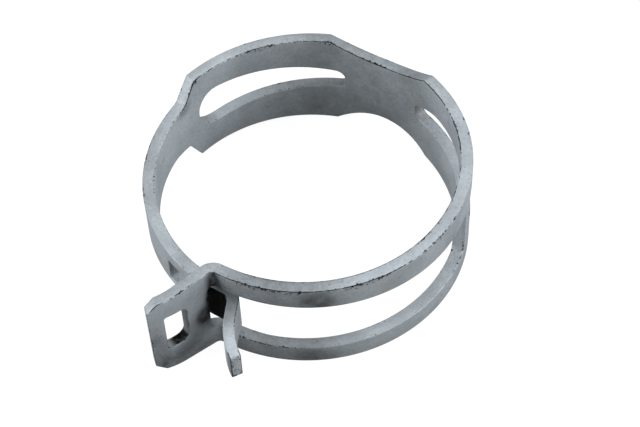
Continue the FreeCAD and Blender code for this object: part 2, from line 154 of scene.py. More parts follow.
@dataclass
class Slab:
    """A flat slab drawn from an outline: the blank itself or one of its punches."""

    name: str
    corners: list[Corner]
    thickness: float
    round_steps: int = 7
    round_profile: float = 0.5

    def make(self) -> bpy.types.Object:
        """Fill the outline, round its corners and draw it out to its thickness.

        Returns:
            The slab, half of its thickness each side of the blank's middle plane.
        """
        bpy.ops.mesh.primitive_circle_add(vertices=len(self.corners), radius=MM,
                                          fill_type="NGON")
        slab = bpy.context.active_object
        slab.name = self.name
        back = Vector((0.0, -self.thickness / 2 * MM, 0.0))
        for vertex, corner in zip(slab.data.vertices, self.corners):
            vertex.co = corner.point() + back
        pick(slab)
        bpy.ops.object.mode_set(mode="EDIT")
        for index, corner in enumerate(self.corners):
            if corner.radius > 0.0:
                self.round_corner(slab, index, corner.point() + back)
        bpy.ops.mesh.select_all(action="SELECT")
        bpy.ops.mesh.extrude_region_move(
            TRANSFORM_OT_translate={"value": (0.0, self.thickness * MM, 0.0)})
        bpy.ops.mesh.select_all(action="SELECT")
        bpy.ops.mesh.normals_make_consistent(inside=False)
        bpy.ops.object.mode_set(mode="OBJECT")
        return slab

    def round_corner(self, slab: bpy.types.Object, index: int, place: Vector) -> None:
        """Round one corner of the flat outline.

        Args:
            slab: the outline, in edit mode.
            index: the corner's number in the outline.
            place: the corner's point in metres.
        """
        before = self.corners[index - 1].point() - self.corners[index].point()
        after = (self.corners[(index + 1) % len(self.corners)].point()
                 - self.corners[index].point())
        tangent = self.corners[index].radius * MM / math.tan(before.angle(after) / 2)
        edit = bmesh.from_edit_mesh(slab.data)
        nearest = min(edit.verts, key=lambda vertex: (vertex.co - place).length)
        for vertex in edit.verts:
            vertex.select = vertex is nearest
        edit.select_flush_mode()
        bmesh.update_edit_mesh(slab.data)
        bpy.ops.mesh.bevel(affect="VERTICES", offset=tangent, segments=self.round_steps,
                           profile=self.round_profile)


# ---------------------------------------------------------------- the plan line
@dataclass
class PlanLine:
    """The line of the strip seen from above, at its mid-thickness."""

    ring: float = 25.0
    bend: float = 1.9
    wide_angle: float = -90.0
    wide_turn: float = 72.0
    wide_straight: float = 5.75
    wide_curl_radius: float = 11.5
    wide_curl: float = 24.0
    narrow_angle: float = 272.3
    narrow_turn: float = 70.0
    narrow_straight: float = 2.5
    narrow_curl_radius: float = 12.0
    narrow_curl: float = 34.0
    degrees_per_step: float = 0.5
    stretches: list[tuple[float, float]] = field(default_factory=list)

    def __post_init__(self) -> None:
        """List the stretches as (radius, turn), from the wide ear's tip to the narrow's."""
        self.stretches = [
            (self.wide_curl_radius, self.wide_curl),
            (self.wide_straight, 0.0),
            (self.bend, -self.wide_turn),
            (self.ring, self.narrow_angle - self.wide_angle),
            (self.bend, -self.narrow_turn),
            (self.narrow_straight, 0.0),
            (self.narrow_curl_radius, self.narrow_curl),
        ]

    @staticmethod
    def length_of(size: float, turn: float) -> float:
        """Length of a stretch: its size if it is straight, and otherwise the arc's."""
        return size if turn == 0.0 else size * abs(math.radians(turn))

    def steps(self, turn: float) -> int:
        """How many chords stand for a stretch."""
        return max(1, math.ceil(abs(turn) / self.degrees_per_step))

    def length(self, count: int | None = None) -> float:
        """Length of the first stretches together, or of the whole line."""
        return sum(self.length_of(*stretch) for stretch in self.stretches[:count])

    def at(self, angle: float) -> float:
        """Where an angle of the ring lies along the blank, in millimetres."""
        return self.length(3) + self.ring * math.radians(angle - self.wide_angle)

    def on_ring(self, angle: float) -> Vector:
        """The point of the ring's middle line at an angle, in metres."""
        turn = math.radians(angle)
        return Vector((math.cos(turn), math.sin(turn), 0.0)) * self.ring * MM

    def walk(self) -> list[Vector]:
        """Points along the whole line, in metres, from the wide ear's tip.

        Returns:
            The points, close enough together to form the blank smoothly.
        """
        heading, place = 0.0, Vector((0.0, 0.0))
        points, headings = [place.copy()], [heading]
        for size, turn in self.stretches:
            steps = self.steps(turn)
            arc = math.radians(turn) / steps
            chord = size if turn == 0.0 else 2 * size * math.sin(abs(arc) / 2)
            for _ in range(steps):
                place = place + chord * Vector((math.cos(heading + arc / 2),
                                                math.sin(heading + arc / 2)))
                heading += arc
                points.append(place.copy())
                headings.append(heading)
        ring_start = sum(self.steps(turn) for _, turn in self.stretches[:3])
        angle = math.radians(self.wide_angle)
        start = Vector((math.cos(angle), math.sin(angle))) * self.ring
        spin = Matrix.Rotation(angle + math.pi / 2 - headings[ring_start], 2)
        return [(spin @ (point - points[ring_start]) + start).to_3d() * MM
                for point in points]

    def former(self) -> bpy.types.Object:
        """Draw the curve that the blank is formed round.

        Returns:
            The curve, flat on the ground plane.
        """
        curve = bpy.data.curves.new("former", "CURVE")
        curve.dimensions = "2D"
        curve.use_deform_bounds = False
        points = self.walk()
        spline = curve.splines.new("POLY")
        spline.points.add(len(points) - 1)
        for control, point in zip(spline.points, points):
            control.co = (*point, 1.0)
        former = bpy.data.objects.new("former", curve)
        bpy.context.scene.collection.objects.link(former)
        return former


# ---------------------------------------------------------------- the stamped blank
def keep_flat_place(piece: bpy.types.Object) -> None:
    """Store each vertex's flat place, in millimetres, for patterns that follow the strip.

    Args:
        piece: the blank, before it is thinned and formed.
    """
    attribute = piece.data.attributes.new(FLAT, "FLOAT_VECTOR", "POINT")
    for item, vertex in zip(attribute.data, piece.data.vertices):
        item.vector = vertex.co / MM


@dataclass(frozen=True)
class Hollow:
    """A hollow in one long edge: the angle and half height of its shoulders and middle.

    The fullness of a side is the power of its curve, higher for a flatter middle.
    """

    right: tuple[float, float]
    middle: tuple[float, float]
    left: tuple[float, float]
    right_fullness: float = 2.3
    left_fullness: float = 1.9

    def half_height(self, angle: float) -> float:
        """How far the edge lies from mid-height.

        Args:
            angle: an angle of the ring within the hollow.

        Returns:
            The distance in millimetres.
        """
        side, fullness = self.left, self.left_fullness
        if angle < self.middle[0]:
            side, fullness = self.right, self.right_fullness
        share = min(1.0, abs((angle - self.middle[0]) / (side[0] - self.middle[0])))
        return side[1] - (side[1] - self.middle[1]) * (1.0 - share ** fullness)


@dataclass
class Blank:
    """The flat strip before it is formed: outline, slots, window and ear hole."""

    plan: PlanLine
    thickness: float = 2.0
    half_height: float = 9.3
    edge_break: float = 0.18
    break_steps: int = 3
    break_above: float = 50.0
    ear_thinning: float = 0.12
    thinning_margin: float = 1.0
    chamfer: float = 1.6
    wide_ear_rise: float = 1.5
    ring_step: float = 1.25
    bend_step: float = 0.16
    curl_step: float = 0.35
    shortest_end: float = 0.01
    top_hollow: Hollow = Hollow((69.4, 9.3), (92.0, 6.45), (112.0, 9.3))
    low_hollow: Hollow = Hollow((67.0, 8.85), (89.0, 6.15), (109.5, 9.3))
    hollow_steps: int = 22

    def ring_corner(self, angle: float, height: float, radius: float = 0.0) -> Corner:
        """A corner given by its angle round the ring."""
        return Corner(self.plan.at(angle), height, radius)

    def waist_edge(self, edge: Edge) -> list[Corner]:
        """One edge of the waist, in order of rising angle.

        Args:
            edge: which long edge of the blank.

        Returns:
            The corners of its hollow, the two shoulders included.
        """
        hollow = self.top_hollow if edge is Edge.TOP else self.low_hollow
        start, sweep = hollow.right[0], hollow.left[0] - hollow.right[0]
        angles = [start + sweep * step / self.hollow_steps
                  for step in range(self.hollow_steps + 1)]
        return [self.ring_corner(angle, edge.value * hollow.half_height(angle))
                for angle in angles]

    def outline(self) -> list[Corner]:
        """Lay out the blank's outer outline.

        Returns:
            Its corners, anticlockwise seen from the outer face.
        """
        plan, top, low = self.plan, self.half_height, -self.half_height
        tip_low = low + self.wide_ear_rise
        foot = plan.length(2)
        end = plan.length()
        low_edge = [
            Corner(self.chamfer, tip_low - 0.1, 0.5),
            Corner(foot, low, 6.0),
            self.ring_corner(48.0, low, 9.0),
            *self.waist_edge(Edge.LOW),
            self.ring_corner(170.4, low + 0.3, 0.25),
            self.ring_corner(176.0, -4.55, 1.3),
            self.ring_corner(186.0, -3.75, 2.0),
            Corner(plan.length(4), -2.6, 3.0),
            Corner(end, -1.8, 0.45),
        ]
        top_edge = [
            Corner(end, 3.5, 0.45),
            Corner(plan.length(4), 4.65, 3.0),
            self.ring_corner(184.0, 5.25, 2.0),
            self.ring_corner(176.6, 5.45, 1.5),
            self.ring_corner(169.7, top, 0.3),
            *reversed(self.waist_edge(Edge.TOP)),
            Corner(self.chamfer, top, 0.5),
        ]
        tip = [Corner(0.0, top - self.chamfer, 0.5), Corner(0.0, tip_low + self.chamfer, 0.5)]
        return low_edge + top_edge + tip

    def punches(self) -> list[Slab]:
        """Lay out the openings that are stamped through the blank.

        Returns:
            The five punches, deeper than the blank is thick.
        """
        plan = self.plan
        foot = plan.length(2)
        hole_end, hole_tip = foot - 4.45, foot - 8.25
        deep = 3 * self.thickness
        return [
            Slab("side_slot", [
                self.ring_corner(19.0, -2.9, 1.2), self.ring_corner(41.0, -1.5, 4.0),
                self.ring_corner(73.5, -0.95, 1.2), self.ring_corner(73.5, 2.1, 1.5),
                self.ring_corner(62.0, 3.6, 9.0), self.ring_corner(46.0, 4.3, 9.0),
                self.ring_corner(19.0, 5.2, 1.2)], deep),
            Slab("back_slot", [
                self.ring_corner(106.0, -1.15, 1.2), self.ring_corner(169.2, -3.9, 4.2),
                self.ring_corner(169.2, 4.9, 3.8), self.ring_corner(106.0, 2.3, 1.9)],
                deep),
            Slab("window", [
                Corner(foot - 0.4, -5.2, 2.0), self.ring_corner(-74.0, -5.85, 9.0),
                self.ring_corner(13.0, -5.5, 1.2), self.ring_corner(13.0, 4.1, 1.2),
                Corner(foot - 0.4, 5.8, 1.0)], deep),
            Slab("tongue_slot", [
                self.ring_corner(245.4, -2.2, 0.6), self.ring_corner(264.0, -1.5, 1.2),
                self.ring_corner(264.0, 2.4, 1.2), self.ring_corner(245.4, 2.4, 0.5)],
                deep),
            Slab("ear_hole", [
                Corner(hole_tip, -2.8, 0.45), Corner(hole_end, -3.0, 1.3),
                Corner(hole_end, 4.8, 1.3), Corner(hole_tip, 5.3, 0.45)], deep),
        ]

    def stations(self) -> list[float]:
        """Find where the blank is scored across, so that it forms smoothly.

        Returns:
            The places in millimetres along the blank, in order.
        """
        places: list[float] = []
        start = 0.0
        for size, turn in self.plan.stretches:
            length = self.plan.length_of(size, turn)
            if turn != 0.0:
                step = self.curl_step
                if size == self.plan.ring:
                    step = size * math.radians(self.ring_step)
                elif size == self.plan.bend:
                    step = self.bend_step
                count = math.ceil(length / step)
                places += [start + length * number / count for number in range(count)]
            start += length
            places.append(start)
        return [place for place in places
                if self.shortest_end < place < start - self.shortest_end]

    def make(self) -> bpy.types.Object:
        """Stamp the blank, break its edges and score it across.

        Returns:
            The flat blank, with its flat coordinates kept as an attribute.
        """
        blank = Slab("blank", self.outline(), self.thickness).make()
        for slab in self.punches():
            punch = slab.make()
            apply_modifier(blank, "BOOLEAN", operation="DIFFERENCE", solver="EXACT",
                           object=punch)
            bpy.data.objects.remove(punch)
        apply_modifier(blank, "BEVEL", width=self.edge_break * MM, segments=self.break_steps,
                       limit_method="ANGLE",
                       angle_limit=math.radians(self.break_above),
                       use_clamp_overlap=False)
        pick(blank)
        bpy.ops.object.mode_set(mode="EDIT")
        bpy.ops.mesh.select_all(action="SELECT")
        bpy.ops.mesh.remove_doubles(threshold=MERGE)
        for place in self.stations():
            bpy.ops.mesh.select_all(action="SELECT")
            bpy.ops.mesh.bisect(plane_co=(place * MM, 0.0, 0.0), plane_no=(1.0, 0.0, 0.0),
                                threshold=MERGE)
        bpy.ops.object.mode_set(mode="OBJECT")
        keep_flat_place(blank)
        self.thin_ears(blank)
        return blank

    def thin_ears(self, blank: bpy.types.Object) -> None:
        """Press both ears a little thinner than the ring, easing in over their bends.

        Args:
            blank: the scored blank.
        """
        ends = ((self.plan.length(3), self.plan.length(2) - self.thinning_margin),
                (self.plan.length(4), self.plan.length(5) + self.thinning_margin))
        for vertex in blank.data.vertices:
            for start, full in ends:
                share = (vertex.co.x / MM - start) / (full - start)
                vertex.co.y *= 1.0 - self.ear_thinning * min(1.0, max(0.0, share))


# ---------------------------------------------------------------- the sections
@dataclass
class Section:
    """One section of the strip and its CAD bodies.

    It reaches from first to last along the blank, in millimetres. A section on two bodies
    spans them, over the angles turn_from and turn_to.
    """

    name: str
    first: float
    last: float
    bodies: tuple[str, ...]
    stands_for: tuple[str, ...]
    turn_from: float = 0.0
    turn_to: float = 0.0
    smooth_below: float = 38.0

    def part_off(self, blank: bpy.types.Object) -> bpy.types.Object:
        """Cut this section from a copy of the blank and close its ends.

        Args:
            blank: the whole flat blank.

        Returns:
            The section, still flat.
        """
        piece = blank.copy()
        piece.data = blank.data.copy()
        piece.name = piece.data.name = self.name
        bpy.context.scene.collection.objects.link(piece)
        pick(piece)
        bpy.ops.object.mode_set(mode="EDIT")
        for place, way in ((self.first, -1.0), (self.last, 1.0)):
            bpy.ops.mesh.select_all(action="SELECT")
            bpy.ops.mesh.bisect(plane_co=(place * MM, 0.0, 0.0), plane_no=(way, 0.0, 0.0),
                                use_fill=True, clear_outer=True, threshold=MERGE)
        bpy.ops.mesh.select_all(action="SELECT")
        bpy.ops.mesh.normals_make_consistent(inside=False)
        bpy.ops.object.mode_set(mode="OBJECT")
        return piece

    def form(self, piece: bpy.types.Object, former: bpy.types.Object) -> None:
        """Form the flat section round the plan line and shade it.

        Args:
            piece: the flat section.
            former: the curve of the plan line.
        """
        apply_modifier(piece, "CURVE", object=former, deform_axis="POS_X")
        bpy.ops.object.shade_smooth_by_angle(angle=math.radians(self.smooth_below))

    def hang(self, piece: bpy.types.Object, plan: PlanLine) -> None:
        """Give the section to its body; a section on two bodies is baked where it was formed
        and given to none.

        Args:
            piece: the finished section.
            plan: the plan line; the two ends of the bend are worked out from it but not used.
        """
        if len(self.bodies) == 1:
            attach(piece, self.bodies[0])
        else:
            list(self.bodies)
            plan.on_ring(self.turn_from)
            plan.on_ring(self.turn_to)
            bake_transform(piece)
        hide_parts(*self.stands_for)


@dataclass
class Strip:
    """The whole clamp: one strip, parted into sections at the flex lines."""

    plan: PlanLine
    blank: Blank
    past_tip: float = 1.0

    def sections(self) -> list[Section]:
        """List the sections: the waist, each arm's bands from the waist, and the ears.

        Returns:
            The sections, each with its bodies and the nodes it stands for.
        """
        right = [80.0, 58.0, 34.0, 1.0, -36.0, -72.0]
        left = [100.0, 124.0, 151.0, 188.0, 228.0, 268.0]
        right_names = [
            ("right_shoulder_band", ("right_shoulder_upper_strip",
                                     "right_shoulder_lower_strip")),
            ("right_side_band", ("right_side_upper_strip", "right_side_lower_strip")),
            ("bridge_band", ("side_bridge", "window_rear_upper_strip",
                             "window_rear_lower_strip")),
            ("window_middle_band", ("window_middle_upper_strip",
                                    "window_middle_lower_strip")),
            ("window_front_band", ("window_front_upper_strip",
                                   "window_front_lower_strip")),
        ]
        left_names = [
            ("left_shoulder_band", ("left_shoulder_upper_strip",
                                    "left_shoulder_lower_strip")),
            ("left_side_band", ("left_side_upper_strip", "left_side_lower_strip")),
            ("step_band", ("tongue_shoulder", "tongue_rear")),
            ("tongue_band", ("tongue_middle",)),
            ("tongue_slot_band", ("tongue_slot_head", "tongue_upper_prong",
                                  "tongue_lower_prong")),
        ]
        at = self.plan.at
        made = [Section("waist_panel", at(right[0]), at(left[0]), ("waist",), ("waist",))]
        for side, angles, names in (("right", right, right_names),
                                    ("left", left, left_names)):
            body = "waist"
            for number, (name, nodes) in enumerate(names):
                near, far = angles[number], angles[number + 1]
                child = f"{side}_{number + 1}"
                made.append(Section(name, min(at(near), at(far)), max(at(near), at(far)),
                                    (body, child), nodes, turn_from=near, turn_to=far))
                body = child
        made.append(Section("wide_ear", -self.past_tip, at(right[-1]), ("right_5",),
                            ("wide_ear_upper_bend", "wide_ear_lower_bend",
                             "wide_ear_plate")))
        made.append(Section("narrow_ear", at(left[-1]),
                            self.plan.length() + self.past_tip, ("left_5",),
                            ("narrow_ear_root", "narrow_ear_bend", "narrow_ear_plate")))
        return made

    def make(self, finish: "ZincFlake") -> None:
        """Make every section, dress it, and give it to its body where it has just one.

        Args:
            finish: the coating of the strip.
        """
        blank = self.blank.make()
        former = self.plan.former()
        coating = finish.material(self.blank)
        for section in self.sections():
            piece = section.part_off(blank)
            section.form(piece, former)
            piece.data.materials.clear()
            piece.data.materials.append(coating)
            section.hang(piece, self.plan)
            log.info("%s: %d faces, follows %s", piece.name, len(piece.data.polygons),
                     " and ".join(section.bodies))
        bpy.data.objects.remove(former)
        bpy.data.objects.remove(blank)


# ---------------------------------------------------------------- the coating
@dataclass(frozen=True)
class Pattern:
    """A noise over the flat strip, in features per millimetre, and the step made of it."""

    scale: float
    detail: float = 3.0
    roughness: float = 0.55
    low: float = 0.0
    high: float = 1.0
    reach: tuple[float, float] = (0.0, 1.0)


@dataclass
class Bench:
    """Places and wires nodes in one node tree."""

    tree: bpy.types.NodeTree

    def add(self, kind: str, **settings: object) -> bpy.types.Node:
        """Add a node and set its properties.

        Args:
            kind: the node's type.
            settings: values of the node's own properties.

        Returns:
            The new node.
        """
        node = self.tree.nodes.new(kind)
        for key, value in settings.items():
            setattr(node, key, value)
        return node

    def feed(self, node: bpy.types.Node, **inputs: object) -> bpy.types.Node:
        """Set or link the inputs of a node, by their names with _ for a space.

        Args:
            node: the node to feed.
            inputs: a value, or a socket to link from.

        Returns:
            The same node.
        """
        for key, value in inputs.items():
            socket = node.inputs[key.replace("_", " ")]
            if isinstance(value, bpy.types.NodeSocket):
                self.tree.links.new(value, socket)
            else:
                socket.default_value = value
        return node

    def math(self, operation: str, *values: object, clamp: bool = False
             ) -> bpy.types.NodeSocket:
        """Add a Math node.

        Args:
            operation: the node's operation.
            values: its inputs in order, each a number or a socket.
            clamp: whether the result is kept between 0 and 1.

        Returns:
            Its result.
        """
        node = self.add("ShaderNodeMath", operation=operation, use_clamp=clamp)
        for socket, value in zip(node.inputs, values):
            if isinstance(value, bpy.types.NodeSocket):
                self.tree.links.new(value, socket)
            else:
                socket.default_value = value
        return node.outputs[0]

    def ramp(self, value: bpy.types.NodeSocket, low: float, high: float,
             reach: tuple[float, float] = (0.0, 1.0)) -> bpy.types.NodeSocket:
        """A smooth step of a value between two limits.

        Args:
            value: what is stepped.
            low: where the step starts.
            high: where the step ends.
            reach: the results at the start and at the end.

        Returns:
            The stepped value.
        """
        node = self.add("ShaderNodeMapRange", interpolation_type="SMOOTHSTEP")
        self.feed(node, Value=value, From_Min=low, From_Max=high, To_Min=reach[0],
                  To_Max=reach[1])
        return node.outputs["Result"]

    def noise(self, place: bpy.types.NodeSocket, pattern: Pattern) -> bpy.types.NodeSocket:
        """The noise of a pattern, before its step.

        Args:
            place: the flat place, in millimetres.
            pattern: the noise's scale, detail and roughness.

        Returns:
            The noise value.
        """
        node = self.add("ShaderNodeTexNoise")
        self.feed(node, Vector=place, Scale=pattern.scale, Detail=pattern.detail,
                  Roughness=pattern.roughness)
        return node.outputs["Fac"]

    def stepped(self, value: bpy.types.NodeSocket, pattern: Pattern) -> bpy.types.NodeSocket:
        """The step of a pattern, made of a value."""
        return self.ramp(value, pattern.low, pattern.high, pattern.reach)

    def cover(self, place: bpy.types.NodeSocket, pattern: Pattern) -> bpy.types.NodeSocket:
        """The noise of a pattern with its step."""
        return self.stepped(self.noise(place, pattern), pattern)

    def mix(self, share: object, first: object, second: object) -> bpy.types.NodeSocket:
        """Mix two colours.

        Args:
            share: how much of the second, a number or a socket.
            first: a colour or a socket.
            second: a colour or a socket.

        Returns:
            The mixed colour.
        """
        node = self.add("ShaderNodeMix", data_type="RGBA")
        for index, value in ((0, share), (6, first), (7, second)):
            if isinstance(value, bpy.types.NodeSocket):
                self.tree.links.new(value, node.inputs[index])
            else:
                node.inputs[index].default_value = value
        return node.outputs[2]


@dataclass(frozen=True)
class StainAndShade:
    """A soft dark patch on the strip, in millimetres on the flat blank; oily smudges and
    painted shade alike.
    """

    along: float
    height: float
    reach: tuple[float, float]
    strength: float
    face: Face = Face.ALL


@dataclass(frozen=True)
class Rub:
    """A stretch of the strip whose broken edges are rubbed dark, on one face's side.

    It reaches only the edges above its lowest height.
    """

    along: float
    reach: float
    strength: float
    face: Face
    lowest: float


@dataclass(frozen=True)
class ZincFlake:
    """Dull zinc flake coating on spring steel, rubbed dark along its edges, smudged, with
    painted shade.
    """

    name: str = "zinc_flake"
    light: Colour = (0.385, 0.420, 0.447, 1.0)
    deep: Colour = (0.235, 0.258, 0.277, 1.0)
    bare: Colour = (0.014, 0.014, 0.016, 1.0)
    scuff: Colour = (0.105, 0.107, 0.115, 1.0)
    tan: Colour = (0.36, 0.315, 0.25, 1.0)
    # Near black: the colour of the oily smudges and of the shade painted into crevices and
    # hollows.
    soot_and_shade: Colour = (0.007, 0.006, 0.005, 1.0)
    clouds: Pattern = Pattern(0.16, 4.0, 0.55, 0.35, 0.68, (0.0, 0.55))
    grains: Pattern = Pattern(2.3, 4.0, 0.7, 0.38, 0.66, (0.0, 0.42))
    pores: Pattern = Pattern(7.0, 2.0, 0.6)
    tints: Pattern = Pattern(0.22, 2.0, 0.55, 0.6, 0.75, (0.0, 0.22))
    scuffs: Pattern = Pattern(0.4, 6.0, 0.75, 0.58, 0.74, (0.0, 0.6))
    blotches: Pattern = Pattern(0.55, 4.0, 0.6, 0.25, 0.7, (0.72, 1.1))
    chips: Pattern = Pattern(1.9, 5.0, 0.75, 0.85, 0.88)
    drift: Pattern = Pattern(0.09, 2.0)
    drift_share: float = 0.5
    rim_step: tuple[float, float] = (1.0, 1.02)
    rim_share: float = 0.13
    rim_rubbed_share: float = 0.25
    specks: Pattern = Pattern(2.2, 5.0, 0.75, 0.67, 0.69)
    specks_on_cuts: float = 0.025
    stain_and_shade_core: float = 0.35
    rub_core: float = 0.5
    roughness: tuple[float, float] = (0.48, 0.66)
    roughness_step: tuple[float, float] = (0.25, 0.8)
    scuff_polish: float = 0.2
    pore_relief: float = 0.4
    grain_relief: float = 0.6
    chip_depth: float = 0.8
    relief_strength: float = 0.35
    relief_height: float = 0.00006
    metallic: float = 0.25
    dark_metallic: float = 1.0
    dark_step: tuple[float, float] = (0.6, 0.95)

    def stains_and_shade(self, plan: PlanLine) -> list[StainAndShade]:
        """List the smudges of sooty oil from forming and handling, and the painted shade in
        the hollows.

        Args:
            plan: the plan line, for the places of the ears and the ring.

        Returns:
            The smudges and the patches of painted shade.
        """
        foot, tip, bend = plan.length(2), plan.length(), plan.length(4)
        return [
            StainAndShade(plan.at(-72.0), 1.0, (17.0, 26.0), 0.34),
            StainAndShade(plan.at(-55.0), 6.6, (3.4, 3.4), 0.50, Face.OUTER),
            StainAndShade(plan.at(-68.0), 7.0, (13.0, 4.5), 0.24, Face.OUTER),
            StainAndShade(plan.at(-56.0), -8.0, (4.2, 2.2), 0.36, Face.OUTER),
            StainAndShade(plan.at(-70.0), -7.5, (14.0, 4.0), 0.26, Face.OUTER),
            # Top cut face darker across the front of the ring.
            StainAndShade(plan.at(-70.0), 9.3, (10.0, 1.5), 0.18, Face.CUT),
            StainAndShade(plan.at(-72.0), -5.8, (18.0, 1.5), 0.18, Face.CUT),
            # Darker all over the waist.
            StainAndShade(plan.at(100.0), 0.0, (24.0, 24.0), 0.40),
            # Painted shade in the inner corner of the wide ear's bend.
            StainAndShade(foot + 1.5, 7.2, (2.8, 4.6), 0.80, Face.OUTER),
            # The next two are painted shade on the wide ear, round the crevice where the
            # tongue passes its window.
            StainAndShade(foot + 0.3, 2.6, (2.0, 4.8), 1.20, Face.OUTER),
            StainAndShade(foot - 1.4, -0.4, (2.3, 3.2), 0.85, Face.OUTER),
            # Darker towards the lower edge of the wide ear's plate.
            StainAndShade(foot - 6.2, -8.2, (9.0, 6.4), 0.60, Face.OUTER),
            StainAndShade(4.5, 9.3, (7.0, 1.5), 0.24, Face.CUT),
            StainAndShade(0.4, -4.0, (2.8, 11.0), 0.42, Face.OUTER),
            # The next two are painted shade on the bottom and end walls inside the ear hole.
            StainAndShade(foot - 5.1, -3.1, (3.8, 1.2), 1.10, Face.CUT),
            StainAndShade(foot - 4.3, 0.9, (0.9, 5.6), 0.60, Face.CUT),
            # Painted shadow on the tongue's outer face, deep in the crevice between the ears.
            StainAndShade(bend - 1.6, 1.0, (4.8, 8.5), 1.50, Face.OUTER),
            # Painted shade on the cut faces inside the tongue slot.
            StainAndShade(plan.at(252.0), 1.0, (4.5, 5.0), 0.60, Face.CUT),
            StainAndShade(plan.length(5), 4.2, (6.5, 1.8), 0.48, Face.CUT),
            StainAndShade(plan.at(-2.0), -5.6, (11.0, 1.5), 0.18, Face.CUT),
            StainAndShade(plan.at(206.0), 5.3, (14.0, 2.5), 0.17, Face.CUT),
            StainAndShade(tip - 0.4, 1.0, (1.6, 9.0), 0.55, Face.OUTER),
            StainAndShade(plan.at(178.0), 5.5, (2.6, 2.2), 0.35, Face.INNER),
        ]

    def rubs(self, plan: PlanLine) -> list[Rub]:
        """List where the broken edges have lost most of their coating.

        Args:
            plan: the plan line, for the places of the ears and the ring.

        Returns:
            The rubbed stretches.
        """
        tip, any_height = plan.length(), -9.3
        return [
            Rub(plan.at(-60.0), 17.0, 0.18, Face.OUTER, 8.0),
            Rub(plan.at(-22.0), 14.0, 0.10, Face.OUTER, 8.0),
            Rub(plan.at(-76.0), 12.0, 0.12, Face.OUTER, any_height),
            Rub(plan.at(-44.0), 22.0, 0.15, Face.INNER, 8.0),
            Rub(plan.at(40.0), 24.0, 0.15, Face.INNER, 6.0),
            Rub(plan.at(84.0), 17.0, 0.19, Face.INNER, 5.5),
            Rub(plan.at(142.0), 22.0, 0.15, Face.INNER, 8.0),
            Rub(plan.at(173.0), 3.4, 0.22, Face.INNER, 3.0),
            Rub(plan.length(1), 6.0, 0.10, Face.OUTER, any_height),
            Rub(1.0, 1.6, 0.16, Face.OUTER, any_height),
            Rub(plan.length(5), 6.0, 0.20, Face.INNER, any_height),
            Rub(tip, 1.4, 0.40, Face.ALL, any_height),
        ]

    def material(self, blank: Blank) -> bpy.types.Material:
        """Build the coating.

        Args:
            blank: the blank, for its plan line, thickness and broken edges.

        Returns:
            The material, whose patterns follow the flat blank.
        """
        made = bpy.data.materials.new(self.name)
        made.use_nodes = True
        bench = Bench(made.node_tree)
        shader = made.node_tree.nodes["Principled BSDF"]
        place = StripPlace(bench, blank)
        flat = place.flat

        grain = bench.noise(flat, self.grains)
        colour = bench.mix(bench.cover(flat, self.clouds), self.light, self.deep)
        colour = bench.mix(bench.stepped(grain, self.grains), colour, self.deep)
        colour = bench.mix(bench.cover(flat, self.tints), colour, self.tan)

        # Darken with the oily smudges and with the shade painted into the crevices and
        # hollows.
        stain_and_shade_cover = self.stained_and_shaded(bench, place, blank.plan)
        colour = bench.mix(stain_and_shade_cover, colour, self.soot_and_shade)
        scuffs = bench.cover(flat, self.scuffs)
        colour = bench.mix(scuffs, colour, self.scuff)
        dark = self.chipped(bench, place, blank.plan)
        colour = bench.mix(dark, colour, self.bare)

        rough = bench.math("SUBTRACT",
                           bench.ramp(grain, *self.roughness_step, self.roughness),
                           bench.math("MULTIPLY", scuffs, self.scuff_polish))
        pores = bench.noise(flat, self.pores)
        relief = bench.math("ADD", bench.math("MULTIPLY", pores, self.pore_relief),
                            bench.math("MULTIPLY", grain, self.grain_relief))
        relief = bench.math("SUBTRACT", relief,
                            bench.math("MULTIPLY", dark, self.chip_depth))
        relief = bench.math("ADD", relief, bench.math("MULTIPLY", place.cut_face, grain))
        bump = bench.feed(bench.add("ShaderNodeBump"), Strength=self.relief_strength,
                          Distance=self.relief_height, Height=relief)
        # Full metal where the smudges, the painted shade and the chips are deep, so they go
        # darker still.
        metallic = bench.ramp(bench.math("MAXIMUM", stain_and_shade_cover, dark), *self.dark_step,
                              (self.metallic, self.dark_metallic))
        bench.feed(shader, Base_Color=colour, Roughness=rough, Metallic=metallic,
                   Normal=bump.outputs["Normal"])
        return made

    def stained_and_shaded(self, bench: Bench, place: "StripPlace", plan: PlanLine
                ) -> bpy.types.NodeSocket:
        """How much of each spot the smudges and the painted shade cover.

        Args:
            bench: the material's bench.
            place: the spot on the strip.
            plan: the plan line.

        Returns:
            The cover, from 0 to 1.
        """
        uneven = bench.cover(place.flat, self.blotches)
        clean: bpy.types.NodeSocket | float = 1.0
        for stain_and_shade in self.stains_and_shade(plan):
            fade = bench.ramp(place.distance(stain_and_shade), self.stain_and_shade_core, 1.0,
                              (stain_and_shade.strength, 0.0))
            cover = bench.math("MULTIPLY", bench.math("MULTIPLY", fade, uneven),
                               place.on(stain_and_shade.face), clamp=True)
            clean = bench.math("MULTIPLY", clean, bench.math("SUBTRACT", 1.0, cover))
        return bench.math("SUBTRACT", 1.0, clean, clamp=True)

